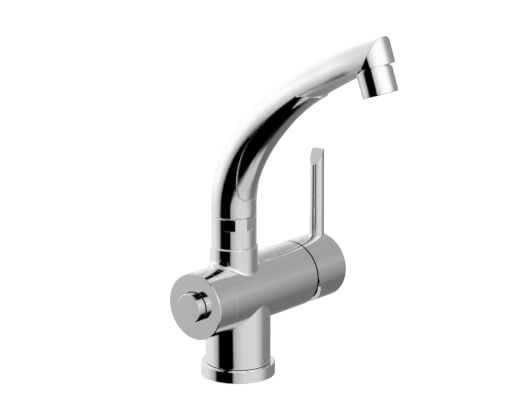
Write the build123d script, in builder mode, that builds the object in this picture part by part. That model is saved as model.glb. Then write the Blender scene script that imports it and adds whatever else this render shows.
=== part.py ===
from build123d import *
import os
from math import cos, degrees, exp, radians, sin, sqrt, tan

# Basin mixer tap. Millimetres, +Z up. The origin is the centre of the flange's underside.
# The barrel lies along X with the lever at its +X end, and the spout reaches towards -Y.

os.makedirs("parts", exist_ok=True)

# Clearances, and how far a cutting shape runs past what it cuts
thread_clearance = 0.1
running_clearance = 0.1
loose_clearance = 0.3
seal_clearance = 0.05
cut_margin = 1.0

# Column, flange and foot
column_inset = 0.65
flange_ledge = 3.25
flange_height = 8.75
foot_inset = 3.0
foot_bottom = 2.0
joint_chamfer = 0.5
foot_wall = 3.0
recess_depth = 10.0
base_seal_wall = 1.5
base_seal_width = 2.6
base_seal_height = 2.0

# Barrel and neck
barrel_height = 59.2
barrel_radius = 23.65
barrel_left = -27.6
barrel_right = 60.2
spout_x = -4.1
neck_radius = 16.75
neck_top = 95.2
neck_root_fillet = 3.0
neck_chamfer = 0.9
neck_way_radius = 6.8

# Inlets and fixing thread, cut from below
inlet_thread_radius = 4.5
inlet_thread_length = 14.0
inlet_x = 8.0
inlet_y = 9.0
inlet_drop = 7.0
inlet_way_radius = 3.0
stud_thread_radius = 3.35
stud_thread_length = 16.0
stud_x = -12.0

# Cartridge
chamber_floor = 38.0
cartridge_radius = 17.5
cartridge_wall = 2.3
cartridge_shoulder = 52.0
cartridge_neck_radius = 15.8
cartridge_neck_bore = 13.4
cartridge_inner_step = 51.2
cartridge_end = 65.0
cartridge_lip = 0.8
cartridge_lip_bore = 12.0
base_plate_top = 44.0
base_plate_flange = 2.0
seal_groove_depth = 1.0
seal_wire = 0.75
port_seal_radius = 4.0
outlet_port_radius = 3.0
disc_radius = 14.5
fixed_disc_thickness = 3.0
moving_disc_radius = 10.5
moving_disc_thickness = 3.7
moving_disc_pocket = 6.0
moving_disc_pocket_depth = 1.5
driver_radius = 9.5
driver_thickness = 4.0
driver_socket_depth = 3.8
tilt_pivot_x = 61.5
tilt_limit = 24.0
carrier_bottom = 55.2
carrier_slot_width = 7.4
pin_radius = 1.5
pin_half_length = 10.5
stem_side = 7.0
stem_square_start = 57.0
stem_ball_radius = 3.0
stem_ball_x = 53.0
stem_neck_radius = 2.0
stem_end = 79.0

# Cartridge nut
nut_thread_radius = 19.3
sleeve_radius = 20.0
nut_chamfer = 0.6

# Lever
cap_start = 61.2
cap_end = 93.9
cap_edge_fillet = 1.5
cap_cavity_radius = 21.2
cap_cavity_end = 80.0
cap_boss_radius = 8.0
cap_boss_start = 70.0
cap_cut_start = 60.7
cap_cut_angle = 24.8
rod_base_radius = 5.4
rod_top_radius = 5.1
rod_top = 146.4
rod_seat_depth = 1.55
rod_seat_wall = 0.35
rod_edge_chamfer = 0.3
rod_screw_radius = 3.0
rod_screw_length = 9.0
facet_length = 11.1
facet_top_offset = 0.8
grub_radius = 2.0
grub_length = 4.0
grub_x = 75.0
grub_key_radius = 1.0
grub_key_depth = 2.0

# End cap and push valve
end_cap_left = -45.7
end_cap_face = 3.0
end_cap_chamfer = 0.6
end_cap_joint_chamfer = 0.2
end_cap_bore = 14.0
end_cap_thread_radius = 16.5
end_cap_thread_length = 7.0
end_cap_seal_wire = 0.9
button_radius = 10.4
button_hole_radius = 11.1
button_proud = 2.5
button_chamfer = 0.5
button_flange_radius = 12.6
button_flange = 2.2
button_travel = 4.0
spindle_radius = 2.5
spindle_socket_depth = 6.0
spindle_tip_radius = 1.5
spindle_head_radius = 6.0
spindle_head = 1.2
guide_flange_radius = 13.0
guide_flange = 2.0
guide_radius = 9.0
guide_length = 8.0
guide_seal_wire = 0.8
valve_way_radius = 6.0
valve_bore_radius = 7.5
seat_left = 5.0
seat_thickness = 3.0
seat_hole_radius = 4.4
valve_disc_radius = 6.8
valve_disc_thickness = 2.0
valve_disc_gap = 0.1
spring_wire_radius = 0.55
spring_coil_radius = 6.5
spring_turns = 6

# Swivel nut, slip ring and spout tail
swivel_radius = 15.8
swivel_top = 117.2
swivel_thread_radius = 12.2
swivel_thread_length = 12.0
swivel_flats_count = 6
swivel_flats_width = 30.6
swivel_flats_height = 9.0
swivel_foot_chamfer = 0.4
swivel_top_chamfer = 1.0
swivel_floor_gap = 4.0
neck_seal_wire = 0.8
slip_ring_radius = 13.0
slip_ring_recess = 1.0
slip_ring_proud = 0.3
tail_radius = 9.4
tail_bore = 6.5
tail_below_nut = 2.2
tail_seal_wire = 0.9
tail_seal_heights = (99.0, 106.0)
clip_thickness = 1.0
clip_gap = 0.5
clip_outer_radius = 11.0
clip_inner_radius = 8.6
clip_opening = 8.0

# Spout: a round tube that rises straight to the bend, then follows tangent arcs, each a radius and
# the degrees that it turns. Stations are lengths along this spine from the bend's start.
bend_rise = 7.0
spine_arcs = ((60.0, 16.0), (95.0, 26.7), (150.0, 9.7), (285.0, 8.0), (420.0, 6.6))
tube_base_radius = 15.8
tube_tip_radius = 14.8
tube_wall = 2.4
way_radius = 8.0
# The underside of the tube is planed off to lips that lie this far below the spine
lip_base_depth = 17.1
lip_fade = 63.0
lip_rise = 2.5
ledge_station = 10.8
ledge_angle = 60.0
nose_station = 125.5
nose_length = 9.0
# Past the cover the tube has its own shallow belly, at lips and middle
belly_lip_low = 1.5
belly_lip_high = 3.0
belly_depth_low = 7.3
belly_depth_high = 3.8
# Steps of the lofts and splines along the spine
tube_steps = 16
end_steps = 2
recess_steps = 8
outer_steps = 4
belly_steps = 5
way_steps = 12

# Cover of the spout's underside: depth of its middle below the spine at each station
cover_depths = ((10.8, 15.1), (22.0, 15.2), (36.0, 15.2), (51.0, 14.7), (69.0, 13.1), (88.0, 10.7),
                (107.0, 8.6), (130.0, 7.7))
# Below its first station the cover runs straight, past the ledge that trims it
cover_foot = 9.0
cover_wall = 1.6
lip_width = 0.9
cover_side_gap = 0.3
cover_seat_gap = 0.2

# Head and aerator. The head's centre lies a little past the spine's end, and below it.
head_reach = 1.49
head_drop = 3.73
head_tilt = 19.4
mitre_lean = 18.4
head_radius = 14.8
aerator_thread_radius = 11.0
aerator_thread_length = 6.0
aerator_radius = 12.2
aerator_tip_radius = 12.0
aerator_length = 17.4
aerator_tip_length = 3.5
aerator_bore = 9.6
aerator_rest = 1.2
aerator_rest_radius = 8.4
insert_length = 13.0
insert_hole_radius = 0.7
insert_face = 2.0
insert_ring_counts = (6, 12, 18)
insert_ring_radii = (2.6, 5.0, 7.2)
washer_thickness = 1.5
washer_bore = 6.0

barrel_axis = Axis((0, 0, barrel_height), (1, 0, 0))
barrel_side = Plane(origin=(0, 0, barrel_height), x_dir=(1, 0, 0), z_dir=(0, -1, 0))
spout_axis = Axis((spout_x, 0, 0), (0, 0, 1))
spout_side = Plane(origin=(spout_x, 0, 0), x_dir=(1, 0, 0), z_dir=(0, -1, 0))


def save(piece, name):
    piece.part.label = name
    export_step(piece.part, f"parts/{name}.step")


def barrel_plane(x):
    """Plane across the barrel at x: local x is +Y and local y is +Z."""
    return Plane(origin=(x, 0, barrel_height), x_dir=(0, 1, 0), z_dir=(1, 0, 0))


# Foot, flange and body
column_radius = barrel_radius - column_inset
flange_radius = column_radius + flange_ledge
foot_radius = column_radius - foot_inset
recess_radius = foot_radius - foot_wall
base_seal_inner = foot_radius + loose_clearance + base_seal_wall

with BuildPart() as base_flange:
    with BuildSketch():
        Circle(flange_radius)
        Circle(foot_radius + loose_clearance, mode=Mode.SUBTRACT)
    extrude(amount=flange_height)
    chamfer(base_flange.edges().filter_by(GeomType.CIRCLE).group_by(Axis.Z)[-1].sort_by(SortBy.RADIUS)[-1],
            length=joint_chamfer)
    with BuildSketch():
        Circle(base_seal_inner + base_seal_width)
        Circle(base_seal_inner, mode=Mode.SUBTRACT)
    extrude(amount=base_seal_height, mode=Mode.SUBTRACT)
save(base_flange, "base_flange")

with BuildPart() as base_seal:
    with BuildSketch():
        Circle(base_seal_inner + base_seal_width - running_clearance)
        Circle(base_seal_inner + running_clearance, mode=Mode.SUBTRACT)
    extrude(amount=base_seal_height)
save(base_seal, "base_seal")

nut_bore = nut_thread_radius + thread_clearance
chamber_bore = cartridge_radius + running_clearance
end_cap_thread_end = barrel_left + end_cap_thread_length
cap_floor = end_cap_thread_end + loose_clearance
guide_end = cap_floor + guide_length
guide_bore = guide_radius + running_clearance
swivel_thread_bottom = neck_top - swivel_thread_length
neck_floor = swivel_thread_bottom - swivel_floor_gap
inlet_mouth = foot_bottom + recess_depth

with BuildPart() as mixer_body:
    with BuildSketch(Plane.XY.offset(flange_height)):
        Circle(column_radius)
    extrude(amount=barrel_height - flange_height)
    chamfer(mixer_body.edges().group_by(Axis.Z)[0], length=joint_chamfer)
    with BuildSketch(barrel_plane(barrel_left)):
        Circle(barrel_radius)
    extrude(amount=barrel_right - barrel_left)
    with BuildSketch(Plane(origin=(spout_x, 0, barrel_height))):
        Circle(neck_radius)
    extrude(amount=neck_top - barrel_height)
    neck_root = mixer_body.edges().filter_by(GeomType.CIRCLE, reverse=True)
    neck_root = neck_root.filter_by(GeomType.LINE, reverse=True).sort_by(Axis.Z)[-1]
    fillet(neck_root, radius=neck_root_fillet)
    chamfer(mixer_body.edges().filter_by(GeomType.CIRCLE).sort_by(Axis.Z)[-1], length=neck_chamfer)
    with BuildSketch(Plane.XY.offset(foot_bottom)):
        Circle(foot_radius)
    extrude(amount=flange_height - foot_bottom)
    # Bores along the barrel: nut thread, cartridge chamber, valve, guide and end cap thread
    with BuildSketch(barrel_side):
        with BuildLine():
            Polyline(
                (barrel_right, 0),
                (barrel_right, nut_bore),
                (cartridge_shoulder, nut_bore),
                (cartridge_shoulder, chamber_bore),
                (chamber_floor, chamber_bore),
                (chamber_floor, valve_bore_radius),
                (seat_left, valve_bore_radius),
                (seat_left, valve_way_radius),
                (guide_end, valve_way_radius),
                (guide_end, guide_bore),
                (cap_floor, guide_bore),
                (cap_floor, end_cap_thread_radius + thread_clearance),
                (barrel_left, end_cap_thread_radius + thread_clearance),
                (barrel_left, 0),
                close=True,
            )
        make_face()
    revolve(axis=barrel_axis, mode=Mode.SUBTRACT)
    # Neck bores
    with BuildSketch(Plane(origin=(spout_x, 0, neck_floor))):
        Circle(swivel_thread_radius + thread_clearance)
    extrude(amount=neck_top - neck_floor, mode=Mode.SUBTRACT)
    with BuildSketch(Plane(origin=(spout_x, 0, barrel_height))):
        Circle(neck_way_radius)
    extrude(amount=neck_floor - barrel_height, mode=Mode.SUBTRACT)
    # Recess under the foot, inlet and stud threads, and the ways up to the cartridge
    with BuildSketch(Plane.XY.offset(foot_bottom)):
        Circle(recess_radius)
    extrude(amount=recess_depth, mode=Mode.SUBTRACT)
    with BuildSketch(Plane.XY.offset(inlet_mouth)):
        with Locations((inlet_x, inlet_y), (inlet_x, -inlet_y)):
            Circle(inlet_thread_radius)
    extrude(amount=inlet_thread_length, mode=Mode.SUBTRACT)
    with BuildSketch(Plane.XY.offset(inlet_mouth)):
        with Locations((stud_x, 0)):
            Circle(stud_thread_radius)
    extrude(amount=stud_thread_length, mode=Mode.SUBTRACT)
    with BuildSketch(Plane.XY.offset(inlet_mouth + inlet_thread_length)):
        with Locations((inlet_x, inlet_y), (inlet_x, -inlet_y)):
            Circle(inlet_way_radius)
    extrude(amount=barrel_height - inlet_drop - inlet_mouth - inlet_thread_length, mode=Mode.SUBTRACT)
    with BuildSketch(barrel_plane(inlet_x - inlet_way_radius)):
        with Locations((inlet_y, -inlet_drop), (-inlet_y, -inlet_drop)):
            Circle(inlet_way_radius)
    extrude(amount=chamber_floor - inlet_x + inlet_way_radius, mode=Mode.SUBTRACT)
save(mixer_body, "mixer_body")

# Cartridge
seal_foot = chamber_floor + seal_clearance
plate_bottom = chamber_floor + loose_clearance
port_places = ((inlet_y, -inlet_drop), (-inlet_y, -inlet_drop), (0, 0))
fixed_disc_top = base_plate_top + fixed_disc_thickness
moving_disc_top = fixed_disc_top + moving_disc_thickness
driver_top = moving_disc_top + driver_thickness
shell_bore = cartridge_radius - cartridge_wall
# The slot lets the ball of the stem swing to the lever's limit
ball_swing = (tilt_pivot_x - stem_ball_x) * sin(radians(tilt_limit))
carrier_slot_length = 2 * (ball_swing + stem_ball_radius + loose_clearance)

with BuildPart() as cartridge_base:
    with BuildSketch(barrel_plane(plate_bottom)):
        Circle(cartridge_radius)
    extrude(amount=base_plate_flange)
    with BuildSketch(barrel_plane(plate_bottom + base_plate_flange)):
        Circle(shell_bore - running_clearance)
    extrude(amount=base_plate_top - plate_bottom - base_plate_flange)
    with BuildSketch(barrel_plane(plate_bottom)):
        with Locations(*port_places):
            Circle(port_seal_radius + seal_wire + seal_clearance)
            Circle(port_seal_radius - seal_wire - seal_clearance, mode=Mode.SUBTRACT)
    extrude(amount=seal_groove_depth, mode=Mode.SUBTRACT)
    with BuildSketch(barrel_plane(plate_bottom)):
        with Locations(*port_places):
            Circle(outlet_port_radius)
    extrude(amount=base_plate_top - plate_bottom, mode=Mode.SUBTRACT)
save(cartridge_base, "cartridge_base")

with BuildPart() as cartridge_seals:
    with BuildSketch(barrel_plane(seal_foot)):
        with Locations(*port_places):
            Circle(port_seal_radius + seal_wire)
            Circle(port_seal_radius - seal_wire, mode=Mode.SUBTRACT)
    extrude(amount=plate_bottom + seal_groove_depth - seal_foot - seal_clearance)
save(cartridge_seals, "cartridge_seals")

with BuildPart() as fixed_disc:
    with BuildSketch(barrel_plane(base_plate_top)):
        Circle(disc_radius)
        with Locations(*port_places):
            Circle(outlet_port_radius, mode=Mode.SUBTRACT)
    extrude(amount=fixed_disc_thickness)
save(fixed_disc, "fixed_disc")

with BuildPart() as moving_disc:
    with BuildSketch(barrel_plane(fixed_disc_top)):
        Circle(moving_disc_radius)
    extrude(amount=moving_disc_thickness)
    with BuildSketch(barrel_plane(fixed_disc_top)):
        Circle(moving_disc_pocket)
    extrude(amount=moving_disc_pocket_depth, mode=Mode.SUBTRACT)
save(moving_disc, "moving_disc")

with BuildPart() as disc_driver:
    with BuildSketch(barrel_plane(moving_disc_top)):
        Circle(driver_radius)
    extrude(amount=driver_thickness)
    with BuildSketch(barrel_plane(driver_top - driver_socket_depth)):
        Circle(stem_ball_radius + loose_clearance)
    extrude(amount=driver_socket_depth, mode=Mode.SUBTRACT)
save(disc_driver, "disc_driver")

with BuildPart() as cartridge_housing:
    with BuildSketch(barrel_side):
        with BuildLine():
            Polyline(
                (plate_bottom + base_plate_flange, shell_bore),
                (plate_bottom + base_plate_flange, cartridge_radius),
                (cartridge_shoulder, cartridge_radius),
                (cartridge_shoulder, cartridge_neck_radius),
                (cartridge_end, cartridge_neck_radius),
                (cartridge_end, cartridge_lip_bore),
                (cartridge_end - cartridge_lip, cartridge_lip_bore),
                (cartridge_end - cartridge_lip, cartridge_neck_bore),
                (cartridge_inner_step, cartridge_neck_bore),
                (cartridge_inner_step, shell_bore),
                close=True,
            )
        make_face()
    revolve(axis=barrel_axis)
save(cartridge_housing, "cartridge_housing")

with BuildPart() as cartridge_carrier:
    with BuildSketch(barrel_plane(carrier_bottom)):
        Circle(cartridge_neck_bore - running_clearance)
        Rectangle(carrier_slot_width, carrier_slot_length, mode=Mode.SUBTRACT)
    extrude(amount=cartridge_end - cartridge_lip - running_clearance - carrier_bottom)
    with BuildSketch(Plane(origin=(tilt_pivot_x, 0, barrel_height), x_dir=(1, 0, 0), z_dir=(0, -1, 0))):
        Circle(pin_radius + seal_clearance)
    extrude(amount=pin_half_length + running_clearance, both=True, mode=Mode.SUBTRACT)
save(cartridge_carrier, "cartridge_carrier")

with BuildPart() as carrier_pin:
    with BuildSketch(Plane(origin=(tilt_pivot_x, 0, barrel_height), x_dir=(1, 0, 0), z_dir=(0, -1, 0))):
        Circle(pin_radius)
    extrude(amount=pin_half_length, both=True)
save(carrier_pin, "carrier_pin")

with BuildPart() as lever_stem:
    with BuildSketch(barrel_plane(stem_square_start)):
        Rectangle(stem_side, stem_side)
    extrude(amount=stem_end - stem_square_start)
    with BuildSketch(barrel_plane(stem_ball_x)):
        Circle(stem_neck_radius)
    extrude(amount=stem_square_start - stem_ball_x)
    with Locations((stem_ball_x, 0, barrel_height)):
        Sphere(stem_ball_radius)
    split(bisect_by=barrel_plane(moving_disc_top + driver_thickness - driver_socket_depth
                                 + loose_clearance), keep=Keep.TOP)
    with BuildSketch(Plane(origin=(tilt_pivot_x, 0, barrel_height), x_dir=(1, 0, 0), z_dir=(0, -1, 0))):
        Circle(pin_radius + seal_clearance)
    extrude(amount=stem_side, both=True, mode=Mode.SUBTRACT)
save(lever_stem, "lever_stem")

with BuildPart() as cartridge_nut:
    with BuildSketch(barrel_side):
        with BuildLine():
            Polyline(
                (cartridge_shoulder, cartridge_neck_radius + running_clearance),
                (cartridge_shoulder, nut_thread_radius),
                (barrel_right, nut_thread_radius),
                (barrel_right, sleeve_radius),
                (cartridge_end - nut_chamfer, sleeve_radius),
                (cartridge_end, sleeve_radius - nut_chamfer),
                (cartridge_end, cartridge_neck_radius + running_clearance),
                close=True,
            )
        make_face()
    revolve(axis=barrel_axis)
save(cartridge_nut, "cartridge_nut")

# Lever
# The rod stands close to the end of the cap
rod_x = cap_end - rod_seat_wall - rod_base_radius
rod_seat = barrel_height + barrel_radius - rod_seat_depth
stem_socket = stem_side + 2 * running_clearance
cut_run = 2 * barrel_radius * tan(radians(cap_cut_angle))

with BuildPart() as lever_cap:
    with BuildSketch(barrel_plane(cap_start)):
        Circle(barrel_radius)
    extrude(amount=cap_end - cap_start)
    fillet(lever_cap.edges().group_by(Axis.X)[-1], radius=cap_edge_fillet)
    with BuildSketch(barrel_plane(cap_start)):
        Circle(cap_cavity_radius)
    extrude(amount=cap_cavity_end - cap_start, mode=Mode.SUBTRACT)
    with BuildSketch(barrel_plane(cap_boss_start)):
        Circle(cap_boss_radius)
    extrude(amount=cap_cavity_end - cap_boss_start)
    with BuildSketch(barrel_plane(cap_boss_start)):
        Rectangle(stem_socket, stem_socket)
    extrude(amount=stem_end + running_clearance - cap_boss_start, mode=Mode.SUBTRACT)
    # The rim is cut back below the axis, so that the cap clears the barrel when it tips out
    with BuildSketch(Plane.XZ):
        with BuildLine():
            Polyline(
                (cap_start - cut_margin, cap_cut_start),
                (cap_start, cap_cut_start),
                (cap_start + cut_run, cap_cut_start - 2 * barrel_radius),
                (cap_start - cut_margin, cap_cut_start - 2 * barrel_radius),
                close=True,
            )
        make_face()
    extrude(amount=2 * barrel_radius, both=True, mode=Mode.SUBTRACT)
    # Flat seat and thread for the rod, and the way in for the grub screw
    with BuildSketch(Plane(origin=(rod_x, 0, rod_seat))):
        Circle(rod_base_radius + seal_clearance)
    extrude(amount=2 * rod_seat_depth, mode=Mode.SUBTRACT)
    with BuildSketch(Plane(origin=(rod_x, 0, rod_seat - rod_screw_length - loose_clearance))):
        Circle(rod_screw_radius + thread_clearance)
    extrude(amount=rod_screw_length + loose_clearance, mode=Mode.SUBTRACT)
    with BuildSketch(Plane(origin=(grub_x, 0, barrel_height - barrel_radius))):
        Circle(grub_radius + thread_clearance)
    extrude(amount=barrel_radius, mode=Mode.SUBTRACT)
save(lever_cap, "lever_cap")

with BuildPart() as lever_grub_screw:
    grub_end = barrel_height - stem_side / 2 - seal_clearance
    with BuildSketch(Plane(origin=(grub_x, 0, grub_end - grub_length))):
        Circle(grub_radius)
    extrude(amount=grub_length)
    with BuildSketch(Plane(origin=(grub_x, 0, grub_end - grub_length))):
        RegularPolygon(grub_key_radius, 6)
    extrude(amount=grub_key_depth, mode=Mode.SUBTRACT)
save(lever_grub_screw, "lever_grub_screw")

with BuildPart() as lever_rod:
    with BuildSketch(Plane(origin=(rod_x, 0, 0), x_dir=(1, 0, 0), z_dir=(0, -1, 0))):
        with BuildLine():
            Polyline(
                (0, rod_seat - rod_screw_length),
                (rod_screw_radius, rod_seat - rod_screw_length),
                (rod_screw_radius, rod_seat),
                (rod_base_radius, rod_seat),
                (rod_top_radius, rod_top - rod_edge_chamfer),
                (rod_top_radius - rod_edge_chamfer, rod_top),
                (0, rod_top),
                close=True,
            )
        make_face()
    revolve(axis=Axis((rod_x, 0, 0), (0, 0, 1)))
    # Long slanted facet that faces the spout
    with BuildSketch(Plane.XZ):
        with BuildLine():
            Polyline(
                (rod_x - rod_top_radius, rod_top - facet_length),
                (rod_x + facet_top_offset, rod_top),
                (rod_x + facet_top_offset, rod_top + cut_margin),
                (rod_x - 2 * rod_top_radius, rod_top + cut_margin),
                (rod_x - 2 * rod_top_radius, rod_top - facet_length),
                close=True,
            )
        make_face()
    extrude(amount=2 * rod_base_radius, both=True, mode=Mode.SUBTRACT)
save(lever_rod, "lever_rod")

# End cap and push valve
# Pressed in, the button still stands proud of the cap
button_left = end_cap_left - button_travel - button_proud
end_cap_shelf = end_cap_left + end_cap_face
button_flange_front = end_cap_shelf + running_clearance
button_back = button_flange_front + button_flange
guide_face = cap_floor - guide_flange
end_cap_groove = barrel_left + end_cap_thread_length / 2

with BuildPart() as end_cap:
    with BuildSketch(barrel_side):
        with BuildLine():
            Polyline(
                (end_cap_left, button_hole_radius),
                (end_cap_left, barrel_radius - end_cap_chamfer),
                (end_cap_left + end_cap_chamfer, barrel_radius),
                (barrel_left - end_cap_joint_chamfer, barrel_radius),
                (barrel_left, barrel_radius - end_cap_joint_chamfer),
                (barrel_left, end_cap_thread_radius),
                (end_cap_groove - end_cap_seal_wire, end_cap_thread_radius),
                (end_cap_groove - end_cap_seal_wire, end_cap_thread_radius - end_cap_seal_wire),
                (end_cap_groove + end_cap_seal_wire, end_cap_thread_radius - end_cap_seal_wire),
                (end_cap_groove + end_cap_seal_wire, end_cap_thread_radius),
                (end_cap_thread_end, end_cap_thread_radius),
                (end_cap_thread_end, end_cap_bore),
                (end_cap_shelf, end_cap_bore),
                (end_cap_shelf, button_hole_radius),
                close=True,
            )
        make_face()
    revolve(axis=barrel_axis)
save(end_cap, "end_cap")

with BuildPart() as end_cap_seal:
    with BuildSketch(barrel_plane(end_cap_groove - end_cap_seal_wire + seal_clearance)):
        Circle(end_cap_thread_radius + seal_clearance)
        Circle(end_cap_thread_radius - end_cap_seal_wire + seal_clearance, mode=Mode.SUBTRACT)
    extrude(amount=2 * (end_cap_seal_wire - seal_clearance))
save(end_cap_seal, "end_cap_seal")

with BuildPart() as push_button:
    with BuildSketch(barrel_side):
        with BuildLine():
            Polyline(
                (button_left, 0),
                (button_left, button_radius - button_chamfer),
                (button_left + button_chamfer, button_radius),
                (button_flange_front, button_radius),
                (button_flange_front, button_flange_radius),
                (button_back, button_flange_radius),
                (button_back, spindle_radius + seal_clearance),
                (button_back - spindle_socket_depth, spindle_radius + seal_clearance),
                (button_back - spindle_socket_depth, 0),
                close=True,
            )
        make_face()
    revolve(axis=barrel_axis)
save(push_button, "push_button")

seat_right = seat_left + seat_thickness
valve_disc_left = seat_right + valve_disc_gap
valve_disc_right = valve_disc_left + valve_disc_thickness

with BuildPart() as valve_spindle:
    with BuildSketch(barrel_side):
        with BuildLine():
            Polyline(
                (button_back - spindle_socket_depth + seal_clearance, 0),
                (button_back - spindle_socket_depth + seal_clearance, spindle_radius),
                (valve_disc_left, spindle_radius),
                (valve_disc_left, spindle_tip_radius),
                (valve_disc_right, spindle_tip_radius),
                (valve_disc_right, spindle_head_radius),
                (valve_disc_right + spindle_head, spindle_head_radius),
                (valve_disc_right + spindle_head, 0),
                close=True,
            )
        make_face()
    revolve(axis=barrel_axis)
save(valve_spindle, "valve_spindle")

with BuildPart() as valve_disc:
    with BuildSketch(barrel_plane(valve_disc_left)):
        Circle(valve_disc_radius)
        Circle(spindle_tip_radius + seal_clearance, mode=Mode.SUBTRACT)
    extrude(amount=valve_disc_thickness)
save(valve_disc, "valve_disc")

with BuildPart() as valve_seat:
    with BuildSketch(barrel_plane(seat_left)):
        Circle(valve_bore_radius - seal_clearance)
        Circle(seat_hole_radius, mode=Mode.SUBTRACT)
    extrude(amount=seat_thickness)
save(valve_seat, "valve_seat")

guide_groove = cap_floor + guide_length / 2

with BuildPart() as valve_guide:
    with BuildSketch(barrel_side):
        with BuildLine():
            Polyline(
                (guide_face, spindle_radius + seal_clearance),
                (guide_face, guide_flange_radius),
                (cap_floor, guide_flange_radius),
                (cap_floor, guide_radius),
                (guide_end, guide_radius),
                (guide_end, spindle_radius + seal_clearance),
                (guide_groove + guide_seal_wire, spindle_radius + seal_clearance),
                (guide_groove + guide_seal_wire, spindle_radius + 2 * guide_seal_wire),
                (guide_groove - guide_seal_wire, spindle_radius + 2 * guide_seal_wire),
                (guide_groove - guide_seal_wire, spindle_radius + seal_clearance),
                close=True,
            )
        make_face()
    revolve(axis=barrel_axis)
save(valve_guide, "valve_guide")

with BuildPart() as guide_seal:
    with BuildSketch(barrel_side):
        with Locations((guide_groove, spindle_radius + guide_seal_wire)):
            Circle(guide_seal_wire - seal_clearance)
    revolve(axis=barrel_axis)
save(guide_seal, "guide_seal")

spring_left = button_back + spring_wire_radius
spring_right = guide_face - spring_wire_radius
spring_pitch = (spring_right - spring_left) / spring_turns
print("button spring least gap", round(spring_pitch - 2 * spring_wire_radius, 2))

with BuildPart() as button_spring:
    with BuildLine() as coil:
        Helix(pitch=spring_pitch, height=spring_right - spring_left, radius=spring_coil_radius,
              center=(spring_left, 0, barrel_height), direction=(1, 0, 0))
    with BuildSketch(Plane(origin=coil.line @ 0, z_dir=coil.line % 0)):
        Circle(spring_wire_radius)
    sweep()
save(button_spring, "button_spring")

# Swivel nut, slip ring and seals under the spout
spout_base = swivel_top + slip_ring_proud
tail_bottom = swivel_thread_bottom - clip_gap - clip_thickness - tail_below_nut
clip_top = swivel_thread_bottom - clip_gap
swivel_bore = tail_radius + running_clearance
neck_groove = swivel_thread_bottom + swivel_thread_length / 2

with BuildPart() as swivel_nut:
    with BuildSketch(spout_side):
        with BuildLine():
            Polyline(
                (swivel_bore, swivel_thread_bottom),
                (swivel_thread_radius, swivel_thread_bottom),
                (swivel_thread_radius, neck_groove - neck_seal_wire),
                (swivel_thread_radius - neck_seal_wire, neck_groove - neck_seal_wire),
                (swivel_thread_radius - neck_seal_wire, neck_groove + neck_seal_wire),
                (swivel_thread_radius, neck_groove + neck_seal_wire),
                (swivel_thread_radius, neck_top),
                (swivel_radius - swivel_foot_chamfer, neck_top),
                (swivel_radius, neck_top + swivel_foot_chamfer),
                (swivel_radius, swivel_top - swivel_top_chamfer),
                (swivel_radius - swivel_top_chamfer, swivel_top),
                (slip_ring_radius + running_clearance, swivel_top),
                (slip_ring_radius + running_clearance, swivel_top - slip_ring_recess),
                (swivel_bore, swivel_top - slip_ring_recess),
                close=True,
            )
        make_face()
    revolve(axis=spout_axis)
    with BuildSketch(Plane(origin=(spout_x, 0, swivel_top - swivel_flats_height))):
        Circle(2 * swivel_radius)
        RegularPolygon(swivel_flats_width / 2, swivel_flats_count, major_radius=False, mode=Mode.SUBTRACT)
    extrude(amount=swivel_flats_height, mode=Mode.SUBTRACT)
save(swivel_nut, "swivel_nut")

with BuildPart() as neck_seal:
    with BuildSketch(Plane(origin=(spout_x, 0, neck_groove - neck_seal_wire + seal_clearance))):
        Circle(swivel_thread_radius + seal_clearance)
        Circle(swivel_thread_radius - neck_seal_wire + seal_clearance, mode=Mode.SUBTRACT)
    extrude(amount=2 * (neck_seal_wire - seal_clearance))
save(neck_seal, "neck_seal")

with BuildPart() as slip_ring:
    with BuildSketch(Plane(origin=(spout_x, 0, swivel_top - slip_ring_recess))):
        Circle(slip_ring_radius)
        Circle(swivel_bore + running_clearance, mode=Mode.SUBTRACT)
    extrude(amount=slip_ring_recess + slip_ring_proud)
save(slip_ring, "slip_ring")

with BuildPart() as spout_seals:
    with BuildSketch(spout_side):
        for height in tail_seal_heights:
            with Locations((tail_radius - tail_seal_wire + seal_clearance, height)):
                Circle(tail_seal_wire)
    revolve(axis=spout_axis)
save(spout_seals, "spout_seals")

with BuildPart() as spout_clip:
    with BuildSketch(Plane(origin=(spout_x, 0, clip_top - clip_thickness))):
        Circle(clip_outer_radius)
        Circle(clip_inner_radius, mode=Mode.SUBTRACT)
        with Locations((0, clip_outer_radius)):
            Rectangle(clip_opening, clip_outer_radius, mode=Mode.SUBTRACT)
    extrude(amount=clip_thickness)
save(spout_clip, "spout_clip")


# Spout
bend_height = swivel_top + bend_rise


def spine(station):
    """Point and slope of the spine at a station: y, z and degrees above level."""
    y = 0.0
    z = bend_height + min(station, 0)
    slope = 90.0
    left = max(station, 0)
    for radius, turn in spine_arcs:
        step = min(left, radius * radians(turn))
        end_slope = slope - degrees(step / radius)
        y += radius * (sin(radians(end_slope)) - sin(radians(slope)))
        z += radius * (cos(radians(end_slope)) - cos(radians(slope)))
        slope = end_slope
        left -= step
    return y - left * cos(radians(slope)), z + left * sin(radians(slope)), slope


def spine_plane(station):
    """Plane across the spine: local x is +X and local y points to the outside of the bend."""
    y, z, slope = spine(station)
    normal = (0, -cos(radians(slope)), sin(radians(slope)))
    return Plane(origin=(spout_x, y, z), x_dir=(1, 0, 0), z_dir=normal)


def tube_plane(station):
    """The same plane turned so that a circle's seam lies underneath."""
    plane = spine_plane(station)
    return Plane(origin=plane.origin, x_dir=-plane.y_dir, z_dir=plane.z_dir)


def below_spine(station, depth):
    """Point in the YZ plane at a depth below the spine."""
    y, z, slope = spine(station)
    return y - depth * sin(radians(slope)), z - depth * cos(radians(slope))


def tube_radius(station):
    share = min(max(station / spine_length, 0), 1)
    return tube_base_radius + share * (tube_tip_radius - tube_base_radius)


def lip_depth(station):
    return lip_base_depth * exp(-station / lip_fade) - lip_rise


def lip_half_width(station):
    return sqrt(tube_radius(station) ** 2 - lip_depth(station) ** 2)


spine_length = sum(radius * radians(turn) for radius, turn in spine_arcs)
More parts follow.
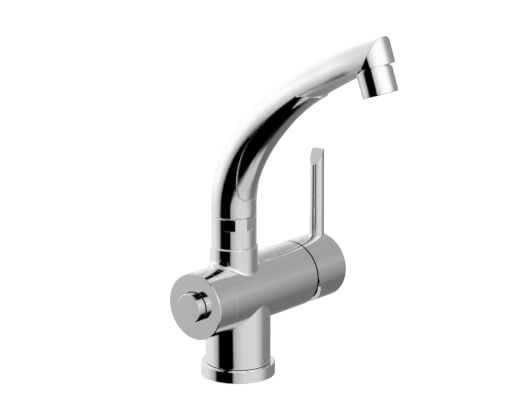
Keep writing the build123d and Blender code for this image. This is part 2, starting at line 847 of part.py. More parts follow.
# The last steps are left to the slanted end
tube_stations = [spout_base - bend_height]
tube_stations += [spine_length * step / tube_steps for step in range(tube_steps - end_steps)]
spine_end_y, spine_end_z = spine(spine_length)[:2]
head_centre = (spout_x, spine_end_y - head_reach, spine_end_z - head_drop)
head_plane = Plane(
    origin=head_centre,
    x_dir=(1, 0, 0),
    z_dir=(0, -sin(radians(head_tilt)), -cos(radians(head_tilt))),
)
# The tube ends on the slanted cut of the round head, which is an ellipse
mitre_plane = Plane(
    origin=head_centre,
    x_dir=(0, sin(radians(mitre_lean)), -cos(radians(mitre_lean))),
    z_dir=(0, -cos(radians(mitre_lean)), -sin(radians(mitre_lean))),
)
mitre_half_length = head_radius / sin(radians(head_tilt + mitre_lean))

with BuildPart() as head_blank:
    with BuildSketch(head_plane):
        Circle(head_radius)
    extrude(amount=-3 * head_radius)
    split(bisect_by=mitre_plane, keep=Keep.TOP)

# Room for the cover: flat across the tube, from the ledge near the base to a rounded nose
nose_start = nose_station - nose_length
ledge_y, ledge_z = below_spine(ledge_station, lip_depth(ledge_station))
ledge_run = tube_base_radius * cos(radians(ledge_angle))
ledge_fall = tube_base_radius * sin(radians(ledge_angle))
recess_end = nose_station + nose_length / 4
recess_length = recess_end - ledge_station
recess_stations = [ledge_station + recess_length * step / recess_steps for step in range(recess_steps + 1)]
outer_stations = [recess_end - recess_length * step / outer_steps for step in range(outer_steps + 1)]
nose_y, nose_z, nose_slope = spine(nose_start)


def nose_shape(grow, depth):
    """Plan of the cover seen square to the spine at the nose, with a rounded end."""
    plan = Plane(origin=(spout_x, nose_y, nose_z), x_dir=(1, 0, 0),
                 z_dir=(0, -sin(radians(nose_slope)), -cos(radians(nose_slope))))
    with BuildPart() as shape:
        with BuildSketch(plan):
            Ellipse(head_radius + grow, nose_length + grow)
            with Locations((0, -nose_station)):
                Rectangle(4 * head_radius, 2 * nose_station)
        extrude(amount=depth, both=True)
    return shape.part


with BuildPart() as cover_recess:
    with BuildSketch(Plane.YZ):
        with BuildLine():
            Spline(*[below_spine(station, lip_depth(station)) for station in recess_stations])
            Polyline(
                below_spine(recess_end, lip_depth(recess_end)),
                *[below_spine(station, 2 * head_radius) for station in outer_stations],
                (ledge_y - ledge_run, ledge_z - ledge_fall),
                (ledge_y, ledge_z),
            )
        make_face()
    extrude(amount=2 * tube_base_radius, both=True)
    add(nose_shape(cover_side_gap, 3 * head_radius), mode=Mode.INTERSECT)

# Above the nose the tube's own belly is a shallow arc from lip to lip
belly_run = spine_length + head_radius - nose_start
with BuildPart() as belly_cut:
    for step in range(belly_steps + 1):
        share = step / belly_steps
        station = nose_start + share * belly_run
        depth = belly_depth_low + share * (belly_depth_high - belly_depth_low)
        lip = belly_lip_low + share * (belly_lip_high - belly_lip_low)
        half_width = sqrt(tube_radius(station) ** 2 - lip ** 2)
        with BuildSketch(spine_plane(station)):
            with BuildLine():
                ThreePointArc((half_width, -lip), (0, -depth), (-half_width, -lip))
                Polyline(
                    (-half_width, -lip),
                    (-2 * head_radius, -lip),
                    (-2 * head_radius, -2 * head_radius),
                    (2 * head_radius, -2 * head_radius),
                    (2 * head_radius, -lip),
                    (half_width, -lip),
                )
            make_face()
    loft()

# Way for the water, as wide as the walls allow
with BuildPart() as water_way:
    for step in range(way_steps + 1):
        station = spine_length * step / way_steps
        depth = max(lip_depth(station), 0) if station < nose_station else belly_lip_high
        radius = min(way_radius, (tube_radius(station) + depth) / 2 - tube_wall)
        with BuildSketch(spine_plane(station)):
            with Locations((0, (tube_radius(station) - depth) / 2)):
                Circle(radius)
    loft()

aerator_top = aerator_thread_length + washer_thickness + loose_clearance

with BuildPart() as spout:
    for station in tube_stations:
        with BuildSketch(tube_plane(station)):
            Circle(tube_radius(station))
    with BuildSketch(mitre_plane):
        Ellipse(mitre_half_length, head_radius)
    loft()
    add(head_blank.part)
    add(belly_cut.part, mode=Mode.SUBTRACT)
    add(cover_recess.part, mode=Mode.SUBTRACT)
    with BuildSketch(head_plane):
        Circle(aerator_radius + loose_clearance)
    extrude(amount=2 * aerator_length, mode=Mode.SUBTRACT)
    # Tail that turns in the swivel nut, with its seal grooves and the groove of its clip
    with BuildSketch(Plane(origin=(spout_x, 0, tail_bottom))):
        Circle(tail_radius)
    extrude(amount=spout_base - tail_bottom)
    for height in tail_seal_heights:
        with BuildSketch(Plane(origin=(spout_x, 0, height - tail_seal_wire - seal_clearance))):
            Circle(tail_radius + cut_margin)
            Circle(tail_radius - 2 * tail_seal_wire, mode=Mode.SUBTRACT)
        extrude(amount=2 * (tail_seal_wire + seal_clearance), mode=Mode.SUBTRACT)
    with BuildSketch(Plane(origin=(spout_x, 0, clip_top - clip_thickness - seal_clearance))):
        Circle(tail_radius + cut_margin)
        Circle(clip_inner_radius - seal_clearance, mode=Mode.SUBTRACT)
    extrude(amount=clip_thickness + 2 * seal_clearance, mode=Mode.SUBTRACT)
    add(water_way.part, mode=Mode.SUBTRACT)
    with BuildSketch(Plane(origin=(spout_x, 0, tail_bottom))):
        Circle(tail_bore)
    extrude(amount=bend_height - tail_bottom, mode=Mode.SUBTRACT)
    with BuildSketch(head_plane):
        Circle(aerator_thread_radius + thread_clearance)
    extrude(amount=-aerator_top, mode=Mode.SUBTRACT)
save(spout, "spout")


def cover_section(station, depth, wall, lift):
    """Shallow arc between the lips, closed by a flat top that is raised by lift."""
    half_width = lip_half_width(station) - lip_width - wall
    top = lip_depth(station) + cover_seat_gap
    with BuildSketch(spine_plane(station)) as section:
        with BuildLine():
            ThreePointArc((-half_width, -top), (0, wall - depth), (half_width, -top))
            if lift:
                Polyline((half_width, -top), (half_width, lift - top), (-half_width, lift - top),
                         (-half_width, -top))
            else:
                Line((half_width, -top), (-half_width, -top))
        make_face()
    return section.sketch


# The cover is a thin shell, open towards the tube, between the ledge and its own nose
with BuildPart() as cover_hollow:
    hollow_depths = cover_depths[1:-1]
    loft(sections=[cover_section(station, depth, cover_wall, cover_wall) for station, depth in hollow_depths])

with BuildPart() as ledge_block:
    with BuildSketch(Plane.YZ):
        with BuildLine():
            Polyline(
                (ledge_y + ledge_run, ledge_z + ledge_fall),
                (ledge_y - 2 * ledge_run, ledge_z - 2 * ledge_fall),
                (ledge_y + ledge_run, ledge_z - 2 * ledge_fall),
                close=True,
            )
        make_face()
    extrude(amount=2 * tube_base_radius, both=True)
    offset(amount=cover_seat_gap)

with BuildPart() as spout_cover:
    loft(sections=[cover_section(station, depth, 0, 0) for station, depth in cover_depths])
    add(cover_hollow.part, mode=Mode.SUBTRACT)
    extrude(cover_section(*cover_depths[0], 0, 0), amount=-cover_foot)
    add(nose_shape(0, 3 * head_radius), mode=Mode.INTERSECT)
    add(ledge_block.part, mode=Mode.SUBTRACT)
save(spout_cover, "spout_cover")

# Aerator
with BuildPart() as aerator_housing:
    with BuildSketch(head_plane):
        Circle(aerator_thread_radius)
    extrude(amount=-aerator_thread_length)
    with BuildSketch(head_plane.offset(loose_clearance)):
        Circle(aerator_radius)
    extrude(amount=aerator_length - aerator_tip_length - loose_clearance)
    with BuildSketch(head_plane.offset(aerator_length - aerator_tip_length)):
        Circle(aerator_radius)
    with BuildSketch(head_plane.offset(aerator_length)):
        Circle(aerator_tip_radius)
    loft()
    with BuildSketch(head_plane):
        Circle(aerator_thread_radius)
    extrude(amount=loose_clearance)
    fillet(aerator_housing.faces().sort_by(Axis.Z)[0].edges(), radius=joint_chamfer)
    with BuildSketch(head_plane.offset(-aerator_thread_length)):
        Circle(aerator_bore)
    extrude(amount=aerator_thread_length + aerator_length - aerator_rest, mode=Mode.SUBTRACT)
    with BuildSketch(head_plane):
        Circle(aerator_rest_radius)
    extrude(amount=aerator_length, mode=Mode.SUBTRACT)
save(aerator_housing, "aerator_housing")

insert_foot = aerator_length - aerator_rest
with BuildPart() as aerator_insert:
    with BuildSketch(head_plane.offset(insert_foot - insert_length)):
        Circle(aerator_bore - running_clearance)
    extrude(amount=insert_length)
    with BuildSketch(head_plane.offset(insert_foot - insert_length)):
        Circle(aerator_rest_radius)
    extrude(amount=insert_length - insert_face, mode=Mode.SUBTRACT)
    with BuildSketch(head_plane.offset(insert_foot)):
        for count, radius in zip(insert_ring_counts, insert_ring_radii):
            with PolarLocations(radius, count):
                Circle(insert_hole_radius)
    extrude(amount=-insert_face, mode=Mode.SUBTRACT)
save(aerator_insert, "aerator_insert")

with BuildPart() as aerator_washer:
    with BuildSketch(head_plane.offset(-aerator_thread_length)):
        Circle(aerator_thread_radius)
        Circle(washer_bore, mode=Mode.SUBTRACT)
    extrude(amount=-washer_thickness)
save(aerator_washer, "aerator_washer")
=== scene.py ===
# Basin mixer tap in polished chrome, on a pale floor in a soft studio
import math

import bpy
from mathutils import Matrix


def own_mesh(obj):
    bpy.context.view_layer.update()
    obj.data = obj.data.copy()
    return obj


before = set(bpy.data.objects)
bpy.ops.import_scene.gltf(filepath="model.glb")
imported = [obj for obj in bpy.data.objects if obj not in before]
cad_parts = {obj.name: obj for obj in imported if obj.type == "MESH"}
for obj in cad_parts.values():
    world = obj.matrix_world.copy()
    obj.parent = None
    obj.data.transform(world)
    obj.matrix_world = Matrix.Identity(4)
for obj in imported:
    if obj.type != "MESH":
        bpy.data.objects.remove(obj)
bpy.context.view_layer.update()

mmPerMetre = 1000  # the looks give sizes in millimetres, and Blender works in metres
waveBands = 10  # a wave texture has this many bands, over pi, in each unit of its scale


def fromHex(code):
    # sRGB hex to the linear colour that the shaders use
    channels = [int(code[i:i + 2], 16) / 255 for i in (1, 3, 5)]
    linear = [c / 12.92 if c <= 0.04045 else ((c + 0.055) / 1.055) ** 2.4 for c in channels]
    return (*linear, 1.0)


def addNode(tree, kind, settings=None, inputs=None, links=None, stops=None):
    # Stops are pairs of place and hex colour, or place and share, for a ramp. Where sockets share
    # a name they go by number: Map Range takes 1 to 2 and gives 3 to 4, and Mix has its share at 0,
    # its two colours at 6 and 7, and the mixed colour as output 2.
    node = tree.nodes.new(kind)
    for name, value in (settings or {}).items():
        setattr(node, name, value)
    for name, value in (inputs or {}).items():
        node.inputs[name].default_value = value
    for name, socket in (links or {}).items():
        tree.links.new(socket, node.inputs[name])
    if stops:
        elements = node.color_ramp.elements
        elements.remove(elements[1])
        for index, (place, value) in enumerate(stops):
            stop = elements.new(place) if index else elements[0]
            stop.position = place
            stop.color = fromHex(value) if isinstance(value, str) else (value, value, value, 1.0)
    return node


# The photograph's camera, solved from the tap's outlines. Places are metres, and the lens and the
# sensor are millimetres.
photoView = {
    "place": (-1.22544, -1.04956, 0.55673),
    "right": (0.64449, -0.76461, 0.0),
    "up": (0.19962, 0.16826, 0.96531),
    "back": (-0.73809, -0.62214, 0.26107),
    "lens": 168.77,
    "sensor": 36.0,
    "nearest": 0.05,
}


def makeCamera():
    data = bpy.data.cameras.new("photoCamera")
    data.lens = photoView["lens"]
    data.sensor_width = photoView["sensor"]
    data.clip_start = photoView["nearest"]
    camera = bpy.data.objects.new("photoCamera", data)
    bpy.context.scene.collection.objects.link(camera)
    turn = Matrix([photoView["right"], photoView["up"], photoView["back"]]).transposed()
    camera.matrix_world = Matrix.Translation(photoView["place"]) @ turn.to_4x4()
    bpy.context.scene.camera = camera


makeCamera()
print("camera in place")

# What the chrome mirrors: a grey room with a soft box in front, one behind and a black card between
# them. Heights are degrees above the horizon, rounds are degrees from +X seen from above.
studio = {
    "strength": 1.126,
    "wall": [(-90, "#000000"), (-78, "#030303"), (-71, "#282828"), (-67, "#626160"),
             (-60, "#6C6B6A"), (-32, "#6F6E6C"), (-20, "#7E7E7D"), (-8, "#878787"),
             (2, "#8D8D8D"), (12, "#999999"), (40, "#A1A1A1"), (60, "#A8A8A8"),
             (75, "#B9B9B9"), (90, "#C3C3C3")],
    "frontBox": [(-90, "#000000"), (-78, "#020202"), (-71, "#323232"), (-66, "#8C8B8A"),
                 (-62, "#AFAEAD"), (-55, "#C2C1C0"), (-40, "#C6C6C5"), (-30, "#CECECE"),
                 (-15, "#D4D4D4"), (0, "#E3E3E3"), (10, "#FDFDFD"), (30, "#FAFAFA"),
                 (45, "#E8E8E8"), (75, "#DCDCDC"), (90, "#CDCDCD")],
    "frontRound": [(-172, 0.0), (-158, 0.3), (-148, 0.5), (-138, 0.7), (-125, 0.92), (-115, 1.0),
                   (-75, 1.0), (-60, 0.74), (-50, 0.42), (-40, 0.1), (-30, 0.0)],
    "backBox": [(-60, "#BEBEBE"), (-40, "#C8C8C8"), (-25, "#D4D4D4"), (-15, "#E2E2E2"),
                (-8, "#F7F7F7"), (-3, "#FCFCFC"), (15, "#FCFCFC"), (24, "#E8E8E8"),
                (32, "#DBDBDB"), (60, "#D2D2D2"), (90, "#C8C8C8")],
    "backRound": [(12, 0.0), (24, 0.1), (34, 0.36), (42, 0.72), (50, 0.88), (62, 0.97), (80, 1.0),
                  (108, 1.0), (120, 0.87), (130, 0.62), (140, 0.4), (150, 0.2), (179, 0.1)],
    # A pale card that lies on the table in front
    "tableCard": "#C4C4C3",
    "tableRound": [(-80, 0.0), (-70, 1.0), (-44, 1.0), (-36, 0.0)],
    "tableRise": [(-68, 0.0), (-63, 1.0), (-50, 1.0), (-42, 0.0)],
    # The black card: its round from -X, its top, where its lower edge runs off towards the front,
    # and how many degrees that edge takes to fade
    "blackCard": "#000000",
    "cardRound": [(-38, 0.0), (-29, 1.0), (18, 1.0), (22, 0.0)],
    "cardTop": [(44, 1.0), (58, 0.0)],
    "cardEdge": [(-90, -75), (-75, -95), (-67, -114), (-60, -124), (-52, -134), (-45, -144),
                 (-37, -152), (-30, -156), (-15, -159), (0, -161)],
    "cardSoft": [(-90, 20), (-60, 22), (-45, 34), (-30, 24), (-18, 6), (0, 2)],
    # What the camera sees behind the tap
    "backdrop": "#FFFFFF",
}


def byHeight(stops):
    return [((degrees + 90) / 180, value) for degrees, value in stops]


def byRound(stops):
    return [((degrees + 180) / 360, value) for degrees, value in stops]


def makeWorld():
    world = bpy.data.worlds.new("studioWorld")
    bpy.context.scene.world = world
    world.use_nodes = True
    tree = world.node_tree
    tree.nodes.clear()
    ray = addNode(tree, "ShaderNodeTexCoord")
    axes = addNode(tree, "ShaderNodeSeparateXYZ", links={0: ray.outputs["Generated"]})
    rise = addNode(tree, "ShaderNodeMath", {"operation": "ARCSINE"}, links={0: axes.outputs["Z"]})
    height = addNode(tree, "ShaderNodeMapRange", inputs={1: -math.pi / 2, 2: math.pi / 2},
                     links={0: rise.outputs[0]}).outputs[0]
    swing = addNode(tree, "ShaderNodeMath", {"operation": "ARCTAN2"},
                    links={0: axes.outputs["Y"], 1: axes.outputs["X"]})
    around = addNode(tree, "ShaderNodeMapRange", inputs={1: -math.pi, 2: math.pi},
                     links={0: swing.outputs[0]}).outputs[0]
    halfTurn = addNode(tree, "ShaderNodeMath", {"operation": "ADD"}, {1: 0.5}, {0: around})
    behind = addNode(tree, "ShaderNodeMath", {"operation": "FRACT"},
                     links={0: halfTurn.outputs[0]}).outputs[0]
    wall = addNode(tree, "ShaderNodeValToRGB", links={0: height}, stops=byHeight(studio["wall"]))
    room = wall.outputs[0]
    # The two soft boxes are laid over the wall
    for box in ("front", "back"):
        light = addNode(tree, "ShaderNodeValToRGB", links={0: height},
                        stops=byHeight(studio[box + "Box"]))
        share = addNode(tree, "ShaderNodeValToRGB", links={0: around},
                        stops=byRound(studio[box + "Round"]))
        room = addNode(tree, "ShaderNodeMix", {"data_type": "RGBA"},
                       links={0: share.outputs[0], 6: room, 7: light.outputs[0]}).outputs[2]
    # Then the pale card on the table
    across = addNode(tree, "ShaderNodeValToRGB", links={0: around},
                     stops=byRound(studio["tableRound"]))
    upward = addNode(tree, "ShaderNodeValToRGB", links={0: height},
                     stops=byHeight(studio["tableRise"]))
    share = addNode(tree, "ShaderNodeMath", {"operation": "MULTIPLY"},
                    links={0: across.outputs[0], 1: upward.outputs[0]})
    room = addNode(tree, "ShaderNodeMix", {"data_type": "RGBA"}, {7: fromHex(studio["tableCard"])},
                   {0: share.outputs[0], 6: room}).outputs[2]
    # Then the black card. Its lower edge and the fade are shares of a whole turn at each height.
    edge = addNode(tree, "ShaderNodeValToRGB", links={0: height},
                   stops=byHeight([(h, (r + 180) / 360) for h, r in studio["cardEdge"]]))
    soft = addNode(tree, "ShaderNodeValToRGB", links={0: height},
                   stops=byHeight([(h, width / 360) for h, width in studio["cardSoft"]]))
    past = addNode(tree, "ShaderNodeMath", {"operation": "SUBTRACT"},
                   links={0: around, 1: edge.outputs[0]})
    lower = addNode(tree, "ShaderNodeMapRange", {"interpolation_type": "SMOOTHSTEP"},
                    {3: 1.0, 4: 0.0}, {0: past.outputs[0], 2: soft.outputs[0]})
    upper = addNode(tree, "ShaderNodeValToRGB", links={0: behind},
                    stops=byRound(studio["cardRound"]))
    card = addNode(tree, "ShaderNodeMath", {"operation": "MAXIMUM"},
                   links={0: lower.outputs[0], 1: upper.outputs[0]})
    top = addNode(tree, "ShaderNodeValToRGB", links={0: height}, stops=byHeight(studio["cardTop"]))
    share = addNode(tree, "ShaderNodeMath", {"operation": "MULTIPLY"},
                    links={0: card.outputs[0], 1: top.outputs[0]})
    room = addNode(tree, "ShaderNodeMix", {"data_type": "RGBA"}, {7: fromHex(studio["blackCard"])},
                   {0: share.outputs[0], 6: room}).outputs[2]
    mirrored = addNode(tree, "ShaderNodeBackground", inputs={"Strength": studio["strength"]},
                       links={0: room})
    plain = addNode(tree, "ShaderNodeBackground", inputs={0: fromHex(studio["backdrop"])})
    path = addNode(tree, "ShaderNodeLightPath")
    seen = addNode(tree, "ShaderNodeMixShader",
                   links={0: path.outputs["Is Camera Ray"], 1: mirrored.outputs[0],
                          2: plain.outputs[0]})
    addNode(tree, "ShaderNodeOutputWorld", links={"Surface": seen.outputs[0]})


makeWorld()
bpy.context.scene.view_settings.view_transform = "Standard"
print("studio in place")


def newMaterial(name, metallic=0.0):
    material = bpy.data.materials.new(name)
    material.use_nodes = True
    shader = material.node_tree.nodes["Principled BSDF"]
    shader.inputs["Metallic"].default_value = metallic
    return material, material.node_tree, shader


# Chromium plate over buffed brass, and over plastic on the spout's cover. In each look the
# roughness goes from least to most, a span is the part of a texture's 0 to 1 that does this, and
# sizes, gaps, depths and edges are millimetres.
chromeLook = {
    "tones": [(0.3, "#F3F3F3"), (0.7, "#EFEFEE")],
    "toneSize": 26,
    "toneDetail": 2.0,
    "roughness": (0.018, 0.042),
    "hazeSize": 4.5,
    "hazeDetail": 4.0,
    "hazeSpan": (0.3, 0.7),
    "rippleSize": 11,
    "rippleDepth": 0.004,
    "softEdge": 0.15,
    "castEdge": 0.5,
    "edgeSamples": 4,
    # the black of the painted shade in the gaps
    "shadeTone": "#060606",
}
# In the lever's joint and under the column's edge the chrome is painted black, as painted shade
# for the shadow in these gaps. A zone of painted shade lies between two places along an axis, and
# within a radius of the barrel's axis. The narrow ones take 0.2 mm of the barrel's rim and 0.25 mm
# of the lever cap's, so that the gap between them looks as wide as in the photograph.
paintedShadeZones = {
    "mixer_body": [{"axis": "X", "from": 58.5, "to": 61.0, "radius": 23.58},
                   {"axis": "X", "from": 60.0, "to": 61.0, "radius": 24.0},
                   {"axis": "Z", "from": 1.0, "to": 9.05, "radius": 90.0}],
    "lever_cap": [{"axis": "X", "from": 61.0, "to": 81.0, "radius": 21.3},
                  {"axis": "X", "from": 61.0, "to": 61.45, "radius": 24.0}],
    "cartridge_nut": [{"axis": "Z", "from": 45.0, "to": 90.0, "radius": 30.0}],
}
barrelHeight = 59.2


def paintShadeInZones(tree, place, tone, shadedZones):
    # The tone, but painted black as shade where a point lies in one of the zones
    onAxis = addNode(tree, "ShaderNodeMapping",
                     inputs={"Location": (0, 0, -barrelHeight / mmPerMetre), "Scale": (0, 1, 1)},
                     links={"Vector": place})
    radius = addNode(tree, "ShaderNodeVectorMath", {"operation": "LENGTH"},
                     links={0: onAxis.outputs[0]})
    axes = addNode(tree, "ShaderNodeSeparateXYZ", links={0: place})
    for zone in shadedZones:
        along = axes.outputs[zone["axis"]]
        inside = addNode(tree, "ShaderNodeMath", {"operation": "LESS_THAN"},
                         {1: zone["radius"] / mmPerMetre}, {0: radius.outputs["Value"]})
        past = addNode(tree, "ShaderNodeMath", {"operation": "GREATER_THAN"},
                       {1: zone["from"] / mmPerMetre}, {0: along})
        before = addNode(tree, "ShaderNodeMath", {"operation": "LESS_THAN"},
                         {1: zone["to"] / mmPerMetre}, {0: along})
        span = addNode(tree, "ShaderNodeMath", {"operation": "MULTIPLY"},
                       links={0: past.outputs[0], 1: before.outputs[0]})
        share = addNode(tree, "ShaderNodeMath", {"operation": "MULTIPLY"},
                        links={0: span.outputs[0], 1: inside.outputs[0]})
        tone = addNode(tree, "ShaderNodeMix", {"data_type": "RGBA"},
                       {7: fromHex(chromeLook["shadeTone"])},
                       {0: share.outputs[0], 6: tone}).outputs[2]
    return tone


def polishedChrome(name, edge, shadedZones=()):
    # The eye gets a near mirror: clouds in the plate that barely show, a slow ripple from the
    # buffing wheel that bends the straight reflections a little, and edges that buffing softened
    material, tree, shader = newMaterial(name, metallic=1.0)
    place = addNode(tree, "ShaderNodeTexCoord").outputs["Object"]
    clouds = addNode(tree, "ShaderNodeTexNoise",
                     inputs={"Scale": mmPerMetre / chromeLook["toneSize"],
                             "Detail": chromeLook["toneDetail"]},
                     links={"Vector": place})
    tone = addNode(tree, "ShaderNodeValToRGB", links={0: clouds.outputs[0]},
                   stops=chromeLook["tones"]).outputs[0]
    # painted shade: black in the zones where the gaps lie in shadow
    if shadedZones:
        tone = paintShadeInZones(tree, place, tone, shadedZones)
    tree.links.new(tone, shader.inputs["Base Color"])
    haze = addNode(tree, "ShaderNodeTexNoise",
                   inputs={"Scale": mmPerMetre / chromeLook["hazeSize"],
                           "Detail": chromeLook["hazeDetail"]},
                   links={"Vector": place})
    low, high = chromeLook["hazeSpan"]
    least, most = chromeLook["roughness"]
    dull = addNode(tree, "ShaderNodeMapRange", inputs={1: low, 2: high, 3: least, 4: most},
                   links={0: haze.outputs[0]})
    tree.links.new(dull.outputs[0], shader.inputs["Roughness"])
    softEdge = addNode(tree, "ShaderNodeBevel", {"samples": chromeLook["edgeSamples"]},
                       {"Radius": edge / mmPerMetre})
    ripple = addNode(tree, "ShaderNodeTexNoise",
                     inputs={"Scale": mmPerMetre / chromeLook["rippleSize"], "Detail": 0.0},
                     links={"Vector": place})
    wavy = addNode(tree, "ShaderNodeBump",
                   inputs={"Distance": chromeLook["rippleDepth"] / mmPerMetre},
                   links={"Height": ripple.outputs[0], "Normal": softEdge.outputs[0]})
    tree.links.new(wavy.outputs[0], shader.inputs["Normal"])
    return material


# Free-cutting brass as it comes from the lathe
brassLook = {
    "tones": [(0.25, "#B8924A"), (0.75, "#CFAE66")],
    "toneSize": 5,
    "toneDetail": 5.0,
    "lineGap": 0.3,
    "lineDepth": 0.012,
    "lineWobble": 0.4,
    "roughness": (0.22, 0.38),
}


def turnedBrass():
    # Yellow metal with fine rings round the barrel's axis, one for each turn of the tool's feed
    material, tree, shader = newMaterial("turnedBrass", metallic=1.0)
    place = addNode(tree, "ShaderNodeTexCoord").outputs["Object"]
    stain = addNode(tree, "ShaderNodeTexNoise",
                    inputs={"Scale": mmPerMetre / brassLook["toneSize"],
                            "Detail": brassLook["toneDetail"]},
                    links={"Vector": place})
    tone = addNode(tree, "ShaderNodeValToRGB", links={0: stain.outputs[0]},
                   stops=brassLook["tones"])
    tree.links.new(tone.outputs[0], shader.inputs["Base Color"])
    lines = addNode(tree, "ShaderNodeTexWave", {"wave_type": "BANDS", "bands_direction": "X"},
                    {"Scale": mmPerMetre / brassLook["lineGap"] * math.pi / waveBands,
                     "Distortion": brassLook["lineWobble"]},
                    {"Vector": place})
    least, most = brassLook["roughness"]
    dull = addNode(tree, "ShaderNodeMapRange", inputs={3: least, 4: most},
                   links={0: lines.outputs[1]})
    tree.links.new(dull.outputs[0], shader.inputs["Roughness"])
    ridges = addNode(tree, "ShaderNodeBump",
                     inputs={"Distance": brassLook["lineDepth"] / mmPerMetre},
                     links={"Height": lines.outputs[1]})
    tree.links.new(ridges.outputs[0], shader.inputs["Normal"])
    return material


# Stainless steel, drawn as wire and bar or stamped from strip
steelLook = {
    "tones": [(0.3, "#A9A9A8"), (0.7, "#C4C4C2")],
    "streakWidth": 0.25,
    "streakLength": 6,
    "streakDepth": 0.004,
    "streakDetail": 3.0,
    "streakSpan": (0.3, 0.7),
    "roughness": (0.2, 0.36),
}


def drawnSteel():
    # A grey sheen with short streaks, which the die has left
    material, tree, shader = newMaterial("drawnSteel", metallic=1.0)
    place = addNode(tree, "ShaderNodeTexCoord").outputs["Object"]
    along = mmPerMetre / steelLook["streakLength"]
    across = mmPerMetre / steelLook["streakWidth"]
    drawn = addNode(tree, "ShaderNodeMapping", inputs={"Scale": (along, across, across)},
                    links={"Vector": place})
    streaks = addNode(tree, "ShaderNodeTexNoise",
                      inputs={"Scale": 1.0, "Detail": steelLook["streakDetail"]},
                      links={"Vector": drawn.outputs[0]})
    tone = addNode(tree, "ShaderNodeValToRGB", links={0: streaks.outputs[0]},
                   stops=steelLook["tones"])
    tree.links.new(tone.outputs[0], shader.inputs["Base Color"])
    low, high = steelLook["streakSpan"]
    least, most = steelLook["roughness"]
    dull = addNode(tree, "ShaderNodeMapRange", inputs={1: low, 2: high, 3: least, 4: most},
                   links={0: streaks.outputs[0]})
    tree.links.new(dull.outputs[0], shader.inputs["Roughness"])
    scores = addNode(tree, "ShaderNodeBump",
                     inputs={"Distance": steelLook["streakDepth"] / mmPerMetre},
                     links={"Height": streaks.outputs[0]})
    tree.links.new(scores.outputs[0], shader.inputs["Normal"])
    return material


# Nitrile rubber, moulded, with a trace of silicone grease
rubberLook = {
    "tones": [(0.3, "#121212"), (0.7, "#1D1D1C")],
    "grainSize": 0.35,
    "grainDepth": 0.02,
    "grainDetail": 3.0,
    "greaseSize": 6,
    "greaseDetail": 2.0,
    "greaseSpan": (0.35, 0.65),
    "roughness": (0.38, 0.68),
}


def nitrileRubber():
    # Black, matt from its fine grain, with slicker patches where the grease lies
    material, tree, shader = newMaterial("nitrileRubber")
    place = addNode(tree, "ShaderNodeTexCoord").outputs["Object"]
    grain = addNode(tree, "ShaderNodeTexNoise",
                    inputs={"Scale": mmPerMetre / rubberLook["grainSize"],
                            "Detail": rubberLook["grainDetail"]},
                    links={"Vector": place})
    tone = addNode(tree, "ShaderNodeValToRGB", links={0: grain.outputs[0]},
                   stops=rubberLook["tones"])
    tree.links.new(tone.outputs[0], shader.inputs["Base Color"])
    grease = addNode(tree, "ShaderNodeTexNoise",
                     inputs={"Scale": mmPerMetre / rubberLook["greaseSize"],
                             "Detail": rubberLook["greaseDetail"]},
                     links={"Vector": place})
    low, high = rubberLook["greaseSpan"]
    least, most = rubberLook["roughness"]
    dull = addNode(tree, "ShaderNodeMapRange", inputs={1: low, 2: high, 3: least, 4: most},
                   links={0: grease.outputs[0]})
    tree.links.new(dull.outputs[0], shader.inputs["Roughness"])
    pits = addNode(tree, "ShaderNodeBump",
                   inputs={"Distance": rubberLook["grainDepth"] / mmPerMetre},
                   links={"Height": grain.outputs[0]})
    tree.links.new(pits.outputs[0], shader.inputs["Normal"])
    return material


# Alumina ceramic, pressed, fired and lapped flat. The arcs' centre is well off the disc, as on a
# lapping plate.
ceramicLook = {
    "tones": [(0.35, "#E6E3DB"), (0.65, "#F1EFEA")],
    "speckSize": 0.8,
    "arcGap": 0.5,
    "arcDepth": 0.001,
    "arcWobble": 1.5,
    "arcCentre": (0, -60, 30),
    "roughness": (0.08, 0.16),
}


def lappedAlumina():
    # Warm white with faint specks, and a gloss that is crossed by the arcs of the lapping plate
    material, tree, shader = newMaterial("lappedAlumina")
    place = addNode(tree, "ShaderNodeTexCoord").outputs["Object"]
    specks = addNode(tree, "ShaderNodeTexVoronoi",
                     inputs={"Scale": mmPerMetre / ceramicLook["speckSize"]},
                     links={"Vector": place})
    tone = addNode(tree, "ShaderNodeValToRGB", links={0: specks.outputs["Distance"]},
                   stops=ceramicLook["tones"])
    tree.links.new(tone.outputs[0], shader.inputs["Base Color"])
    toCentre = tuple(-v / mmPerMetre for v in ceramicLook["arcCentre"])
    plate = addNode(tree, "ShaderNodeMapping", inputs={"Location": toCentre},
                    links={"Vector": place})
    arcs = addNode(tree, "ShaderNodeTexWave", {"wave_type": "RINGS", "rings_direction": "X"},
                   {"Scale": mmPerMetre / ceramicLook["arcGap"] * math.pi / waveBands,
                    "Distortion": ceramicLook["arcWobble"]},
                   {"Vector": plate.outputs[0]})
    least, most = ceramicLook["roughness"]
    dull = addNode(tree, "ShaderNodeMapRange", inputs={3: least, 4: most},
                   links={0: arcs.outputs[1]})
    tree.links.new(dull.outputs[0], shader.inputs["Roughness"])
    scores = addNode(tree, "ShaderNodeBump",
                     inputs={"Distance": ceramicLook["arcDepth"] / mmPerMetre},
                     links={"Height": arcs.outputs[1]})
    tree.links.new(scores.outputs[0], shader.inputs["Normal"])
    return material


# Acetal, injection moulded: natural in the cartridge, grey in the aerator
acetalLooks = {
    "naturalAcetal": {"tones": [(0.3, "#D3D1CA"), (0.7, "#E0DFD9")], "roughness": (0.34, 0.46)},
    "greyAcetal": {"tones": [(0.3, "#868C90"), (0.7, "#949A9D")], "roughness": (0.36, 0.5)},
}
acetalGrain = {
    "size": 0.5,
    "depth": 0.008,
    "detail": 3.0,
    "span": (0.3, 0.7),
    "flowSize": 9,
    "flowWobble": 1.2,
}


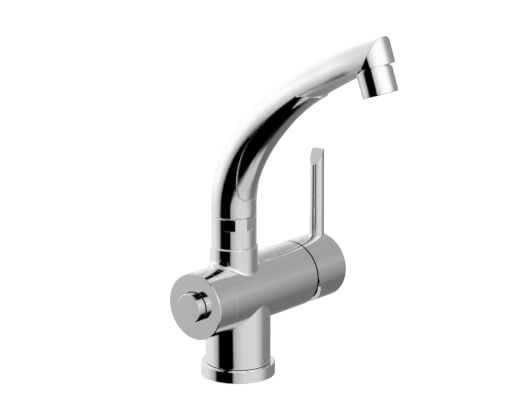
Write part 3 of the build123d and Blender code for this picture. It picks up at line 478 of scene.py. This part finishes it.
def mouldedAcetal(name):
    # Opaque and a little waxy, with the slow streaks of the melt and the fine grain of the mould
    look = acetalLooks[name]
    material, tree, shader = newMaterial(name)
    place = addNode(tree, "ShaderNodeTexCoord").outputs["Object"]
    flow = addNode(tree, "ShaderNodeTexNoise",
                   inputs={"Scale": mmPerMetre / acetalGrain["flowSize"],
                           "Distortion": acetalGrain["flowWobble"]},
                   links={"Vector": place})
    tone = addNode(tree, "ShaderNodeValToRGB", links={0: flow.outputs[0]}, stops=look["tones"])
    tree.links.new(tone.outputs[0], shader.inputs["Base Color"])
    grain = addNode(tree, "ShaderNodeTexNoise",
                    inputs={"Scale": mmPerMetre / acetalGrain["size"],
                            "Detail": acetalGrain["detail"]},
                    links={"Vector": place})
    low, high = acetalGrain["span"]
    least, most = look["roughness"]
    dull = addNode(tree, "ShaderNodeMapRange", inputs={1: low, 2: high, 3: least, 4: most},
                   links={0: grain.outputs[0]})
    tree.links.new(dull.outputs[0], shader.inputs["Roughness"])
    pits = addNode(tree, "ShaderNodeBump", inputs={"Distance": acetalGrain["depth"] / mmPerMetre},
                   links={"Height": grain.outputs[0]})
    tree.links.new(pits.outputs[0], shader.inputs["Normal"])
    return material


# Which piece has which finish. The pieces with painted shade in their gaps each have a chrome of
# their own.
finishes = {
    "polishedChrome": ["base_flange", "end_cap", "push_button", "lever_rod", "swivel_nut",
                       "aerator_housing"],
    "buffedCasting": ["spout", "spout_cover"],
    "turnedBrass": ["valve_seat", "valve_guide", "lever_stem"],
    "drawnSteel": ["carrier_pin", "lever_grub_screw", "spout_clip", "valve_spindle",
                   "button_spring"],
    "nitrileRubber": ["base_seal", "end_cap_seal", "guide_seal", "valve_disc", "cartridge_seals",
                      "neck_seal", "spout_seals", "aerator_washer"],
    "lappedAlumina": ["fixed_disc", "moving_disc"],
    "naturalAcetal": ["cartridge_housing", "cartridge_base", "disc_driver", "cartridge_carrier",
                      "slip_ring"],
    "greyAcetal": ["aerator_insert"],
}
materials = {
    "polishedChrome": polishedChrome("polishedChrome", chromeLook["softEdge"]),
    "buffedCasting": polishedChrome("buffedCasting", chromeLook["castEdge"]),
    "turnedBrass": turnedBrass(),
    "drawnSteel": drawnSteel(),
    "nitrileRubber": nitrileRubber(),
    "lappedAlumina": lappedAlumina(),
    "naturalAcetal": mouldedAcetal("naturalAcetal"),
    "greyAcetal": mouldedAcetal("greyAcetal"),
}


def giveFinish(name, material):
    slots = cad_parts[name].data.materials
    slots.clear()
    slots.append(material)


for finish, pieces in finishes.items():
    for name in pieces:
        giveFinish(name, materials[finish])
# These pieces get a chrome of their own, with painted shade in their gaps
for name, shadedZones in paintedShadeZones.items():
    giveFinish(name, polishedChrome("polishedChrome_" + name, chromeLook["softEdge"], shadedZones))
print("finishes on", sum(map(len, finishes.values())) + len(paintedShadeZones), "pieces")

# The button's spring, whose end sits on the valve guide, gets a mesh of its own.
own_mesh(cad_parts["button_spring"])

# A pale floor that glows a little, so that the tap hardly darkens it. The chrome doesn't mirror it.
floorLook = {"size": 8.0, "color": "#F4F4F4", "roughness": 0.9, "glow": 0.62}


def makeFloor():
    bpy.ops.object.select_all(action="DESELECT")
    bpy.ops.mesh.primitive_plane_add(size=floorLook["size"], location=(0, 0, 0))
    floor = bpy.context.object
    floor.name = "paleFloor"
    floor.visible_glossy = False
    material, _, shader = newMaterial("paleFloor")
    shader.inputs["Base Color"].default_value = fromHex(floorLook["color"])
    shader.inputs["Roughness"].default_value = floorLook["roughness"]
    shader.inputs["Emission Color"].default_value = fromHex(floorLook["color"])
    shader.inputs["Emission Strength"].default_value = floorLook["glow"]
    floor.data.materials.append(material)


makeFloor()
print("floor in place")
